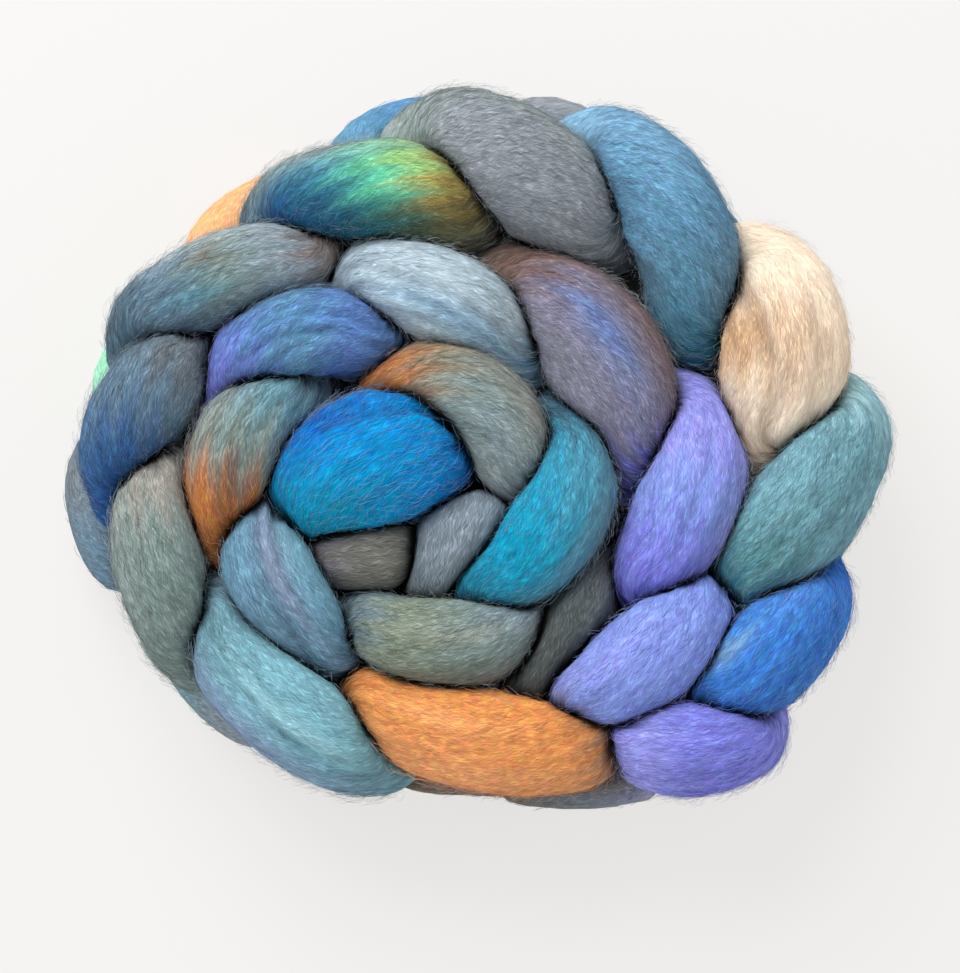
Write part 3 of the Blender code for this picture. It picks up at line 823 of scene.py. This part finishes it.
def fibreTree():                       # grows tapered fibres along the combing of a skin
    tree = bpy.data.node_groups.new("fibres", "GeometryNodeTree")
    for label, kind in treeInputs:
        tree.interface.new_socket(label, in_out="INPUT", socket_type="NodeSocket" + kind)
    tree.interface.new_socket("Geometry", in_out="OUTPUT", socket_type="NodeSocketGeometry")
    sheet = Sheet(tree)
    start = tree.nodes.new("NodeGroupInput")
    given = {end.name: Wire(sheet, end) for end in start.outputs if end.name}
    skin = given["Geometry"]

    density = sheet.named(given["Where"], "FLOAT") * given["Density"]
    points = sheet.add("GeometryNodeDistributePointsOnFaces", {}, {
        "Mesh": skin, "Density": density, "Seed": given["Seed"]})
    for step, label in enumerate(("luck", "chance")):
        draw = sheet.add("FunctionNodeRandomValue", {"data_type": "FLOAT_VECTOR"}, {
            "Min": (0.0, 0.0, 0.0), "Max": (1.0, 1.0, 1.0), "Seed": given["Seed"] + float(step + 1)})
        points = sheet.stored(points, label, draw)
    points = sheet.stored(points, "rootPlace", sheet.named(fibreMap))
    points = sheet.stored(points, "number", sheet.add("GeometryNodeInputIndex"), "FLOAT")

    # one fibre of unit length: a three-sided spindle
    rod = sheet.add("GeometryNodeMeshCylinder", {"fill_type": "NGON"}, {
        "Vertices": 3, "Side Segments": given["Bends"], "Radius": 1.0, "Depth": 1.0}, out="Mesh")
    x, y, z = sheet.parts(sheet.add("GeometryNodeInputPosition"))
    slim = sheet.maths("MAXIMUM", 1.0 - z * z * 4.0, 0.0) ** 0.5
    rod = sheet.add("GeometryNodeSetPosition", {}, {
        "Geometry": rod, "Position": sheet.vector(x * slim, y * slim, z)})
    rod = sheet.add("GeometryNodeMergeByDistance", {}, {"Geometry": rod, "Distance": 0.001})
    rod = sheet.stored(rod, "spot", sheet.add("GeometryNodeInputPosition"))
    grown = sheet.add("GeometryNodeInstanceOnPoints", {}, {"Points": points, "Instance": rod})
    grown = sheet.add("GeometryNodeRealizeInstances", {}, {"Geometry": grown})

    # each fibre lies along the combing, wanders a little and lifts off the skin
    x, y, z = sheet.parts(sheet.named("spot"))
    length, girth, phase = sheet.parts(sheet.named("luck"))
    lean, loft, stray = sheet.parts(sheet.named("chance"))
    along = z * given["Length"] * varied(length, "length")
    wave = sheet.maths("SINE", z * varied(girth, "curls") * given["Curls"] + phase * 6.28)
    sway = wave * given["Wander"] * varied(stray, "wander") + along * (lean - 0.5) * given["Slope"]
    toMap = 1.0 / (mapCell * mapSide * mm)
    place = sheet.named("rootPlace") + sheet.vector(along * toMap, sway * toMap)
    mapNow = sheet.named(fibreMap)
    ground, up = [
        sheet.add("GeometryNodeSampleUVSurface", {"data_type": "FLOAT_VECTOR"}, {
            "Mesh": skin, "Value": sheet.add(kind), "UV Map": mapNow, "Sample UV": place})
        for kind in ("GeometryNodeInputPosition", "GeometryNodeInputNormal")
    ]
    tip = (z + 0.5) ** 1.5 * stray ** given["Rarity"] * given["Tips"]
    arc = (1.0 - z * z * 4.0) * loft ** given["Rarity"] * given["Arcs"]
    rise = given["Lift"] * loft + tip + arc
    across = sheet.add("ShaderNodeVectorMath", {"operation": "CROSS_PRODUCT"}, {
        0: up, 1: sheet.named("grain")})
    thick = given["Thickness"] * varied(girth, "thickness")
    left, front, height = sheet.parts(ground + up * (rise + y * thick) + across * (x * thick))
    spot = sheet.vector(left, front, sheet.maths("MAXIMUM", height, fibreFloor))
    grown = sheet.add("GeometryNodeSetPosition", {}, {"Geometry": grown, "Position": spot})

    # every fibre has a square of its own on its map
    number = sheet.named("number", "FLOAT")
    row = sheet.maths("FLOOR", number * (1 / fibreRow))
    column = number - row * fibreRow
    onMap = sheet.vector((column + 0.5 + z * 0.5) * (1 / fibreRow), (row + 0.5 + x * 0.3) * (1 / fibreRow))
    grown = sheet.stored(grown, fibreMap, onMap, "FLOAT2", "CORNER")
    grown = sheet.add("GeometryNodeSetShadeSmooth", {}, {"Geometry": grown, "Shade Smooth": True})
    grown = sheet.add("GeometryNodeRealizeInstances", {}, {"Geometry": grown})
    grown = sheet.add("GeometryNodeSetMaterial", {}, {"Geometry": grown, "Material": given["Material"]})
    end = tree.nodes.new("NodeGroupOutput")
    tree.links.new(grown.end, end.inputs[0])
    return tree


def read(items, key, kind=float):      # one value of every item, as an array
    values = np.empty(len(items), kind)
    items.foreach_get(key, values)
    return values


def coveredArea(piece, label):         # square metres of skin, counted by how thickly fibres cover it
    mesh = piece.data
    area = read(mesh.polygons, "area")
    cover = read(mesh.attributes[label].data, "value")
    first = read(mesh.polygons, "loop_start", int)
    corner = read(mesh.loops, "vertex_index", int)
    return float((area * cover[corner[first]]).sum())


def growFibres(tree, name, skin, material, looks):
    host = placed(name, skin.data)
    grow = host.modifiers.new("fibres", "NODES")
    grow.node_group = tree
    inputs = {item.name: item.identifier for item in tree.interface.items_tree if item.in_out == "INPUT"}
    for label, value in looks.items():
        if label != "Count":
            grow[inputs[label]] = value
    grow[inputs["Density"]] = looks["Count"] / coveredArea(skin, looks["Where"])
    grow[inputs["Material"]] = material
    graph = bpy.context.evaluated_depsgraph_get()
    mesh = bpy.data.meshes.new_from_object(host.evaluated_get(graph))
    mesh.name = name
    bpy.data.objects.remove(host)
    for label in ("cover", "grain", "spot", "chance", "rootPlace", "number"):
        if label in mesh.attributes:
            mesh.attributes.remove(mesh.attributes[label])
    print(name, "faces:", len(mesh.polygons))
    return placed(name, mesh)


combing = {
    "Where": "cover",
    "Count": 7400,
    "Length": 3.6 * mm,
    "Thickness": 0.052 * mm,
    "Lift": 0.2 * mm,          # how far a fibre lies off the skin
    "Tips": 1.2 * mm,          # how high a tip stands up, or a middle
    "Arcs": 0.6 * mm,
    "Rarity": 4.0,             # a higher power lets fewer stand up
    "Wander": 0.32 * mm,       # how far a fibre waves to each side
    "Curls": 8.0,
    "Slope": 1.1,              # how far it may cross the combing
    "Bends": 5,
}
fuzz = {
    "Where": "stray",
    "Count": 15000,
    "Length": 2.8 * mm,
    "Thickness": 0.034 * mm,
    "Lift": 0.4 * mm,
    "Tips": 2.6 * mm,
    "Arcs": 1.5 * mm,
    "Rarity": 1.3,
    "Wander": 0.6 * mm,
    "Curls": 4.0,
    "Slope": 3.5,
    "Bends": 3,
}

woolLook = woolMaterial()
fibreLook = fibreMaterial("looseFibre", fibreLooks)
fuzzLook = fibreMaterial("fuzz", fuzzLooks)
upperLobes.data.materials.append(woolLook)
lowerLobes.data.materials.append(woolLook)
tree = fibreTree()
growth = (
    ("combedFibresA", upperLobes, fibreLook, combing | {"Seed": 3}),
    ("combedFibresB", upperLobes, fibreLook, combing | {"Seed": 17, "Length": 5 * mm}),
    ("combedFibresC", upperLobes, fibreLook, combing | {"Seed": 23}),
    ("combedFibresBelow", lowerLobes, fibreLook, combing | {"Seed": 29, "Count": 3400}),
    ("fuzz", upperLobes, fuzzLook, fuzz | {"Seed": 41}),
)
pieces = [upperLobes, lowerLobes] + [growFibres(tree, *row) for row in growth]

# core, frame, floor and light


core = {"bottom": 20.0, "top": 42.0, "outset": 1.0}        # mm; outset past the lobes' own places


def darkShadeCore():                      # dark wool between the upper and lower lobes, in full painted shade
    turn = np.array([row[:2] for row in lobeTable[11:]], float)
    turn += unit(turn - turn.mean(0)) * core["outset"]
    turn -= coil["centre"]
    count = len(turn)
    points = [(x * mm, y * mm, z * mm) for z in (core["bottom"], core["top"]) for x, y in turn]
    base = tuple(range(count))         # the outer turn runs clockwise, so this face looks down
    faces = [base, tuple(count + i for i in reversed(base))]
    faces += [(after, i, count + i, count + after) for i, after in zip(base, base[1:] + base[:1])]
    mesh = bpy.data.meshes.new("darkShadeCore")
    mesh.from_pydata(points, [], faces)
    # charcoal in full painted crease shade: a dark filler for the shade deep inside the coil
    keep(mesh, "dye", "color", np.tile([*linear("charcoal"), 1.0], (len(points), 1)))
    keep(mesh, "paintedCreaseShade", "value", np.ones(len(points)))
    mesh.uv_layers.new(name=fibreMap)
    mesh.materials.append(woolLook)
    return placed("darkShadeCore", mesh)


pieces.append(darkShadeCore())
for piece in pieces:
    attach(piece, "root")
    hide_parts("wool_roving")

stage = {                              # metres, watts and linear colours
    "floor": 3.0,
    "floorColour": (0.18, 0.177, 0.174, 1),
    "floorRoughness": 0.85,
    "floorGlow": 0.69,
    "glowColour": (1.0, 0.985, 0.965, 1),
    "sky": 0.70,
    "keyPlace": (-0.50, 0.80, 1.00),
    "keyAim": (0, 0, 0.03),
    "keySize": 1.1,
    "keyPower": 15.5,
}
view = {"tilt": 80, "aim": (0.0021, -0.0189, 0.058), "distance": 0.6, "lens": 83.33}


def layFloor():
    half = stage["floor"] / 2
    mesh = bpy.data.meshes.new("floor")
    corners = [(x * half, y * half, 0) for x, y in ((-1, -1), (1, -1), (1, 1), (-1, 1))]
    mesh.from_pydata(corners, [], [(0, 1, 2, 3)])
    paper, shader = paint("palePaper", stage["floorRoughness"])
    shader.inputs["Base Color"].default_value = stage["floorColour"]
    shader.inputs["Emission Color"].default_value = stage["glowColour"]
    shader.inputs["Emission Strength"].default_value = stage["floorGlow"]
    paper.cycles.emission_sampling = "NONE"
    mesh.materials.append(paper)
    floor = placed("floor", mesh)


def lightUp():
    sky = bpy.data.worlds.new("softSky")
    sky.use_nodes = True
    sky.node_tree.nodes["Background"].inputs["Color"].default_value = (1.0, 1.0, 1.0, 1)
    sky.node_tree.nodes["Background"].inputs["Strength"].default_value = stage["sky"]
    bpy.context.scene.world = sky
    lamp = bpy.data.lights.new("keyLight", "AREA")
    lamp.shape = "DISK"
    lamp.size = stage["keySize"]
    lamp.energy = stage["keyPower"]
    key = placed("keyLight", lamp)
    key.location = stage["keyPlace"]
    key.rotation_euler = (Vector(stage["keyAim"]) - key.location).to_track_quat("-Z", "Y").to_euler()
    bpy.context.scene.view_settings.view_transform = "Standard"


def placeCamera():
    tilt = radians(view["tilt"])
    look = Vector((0, cos(tilt), -sin(tilt)))
    lens = bpy.data.cameras.new("camera")
    lens.lens = view["lens"]
    camera = placed("camera", lens)
    camera.location = Vector(view["aim"]) - look * view["distance"]
    camera.rotation_euler = look.to_track_quat("-Z", "Y").to_euler()
    bpy.context.scene.camera = camera


layFloor()
lightUp()
placeCamera()
print("stage and light: done")
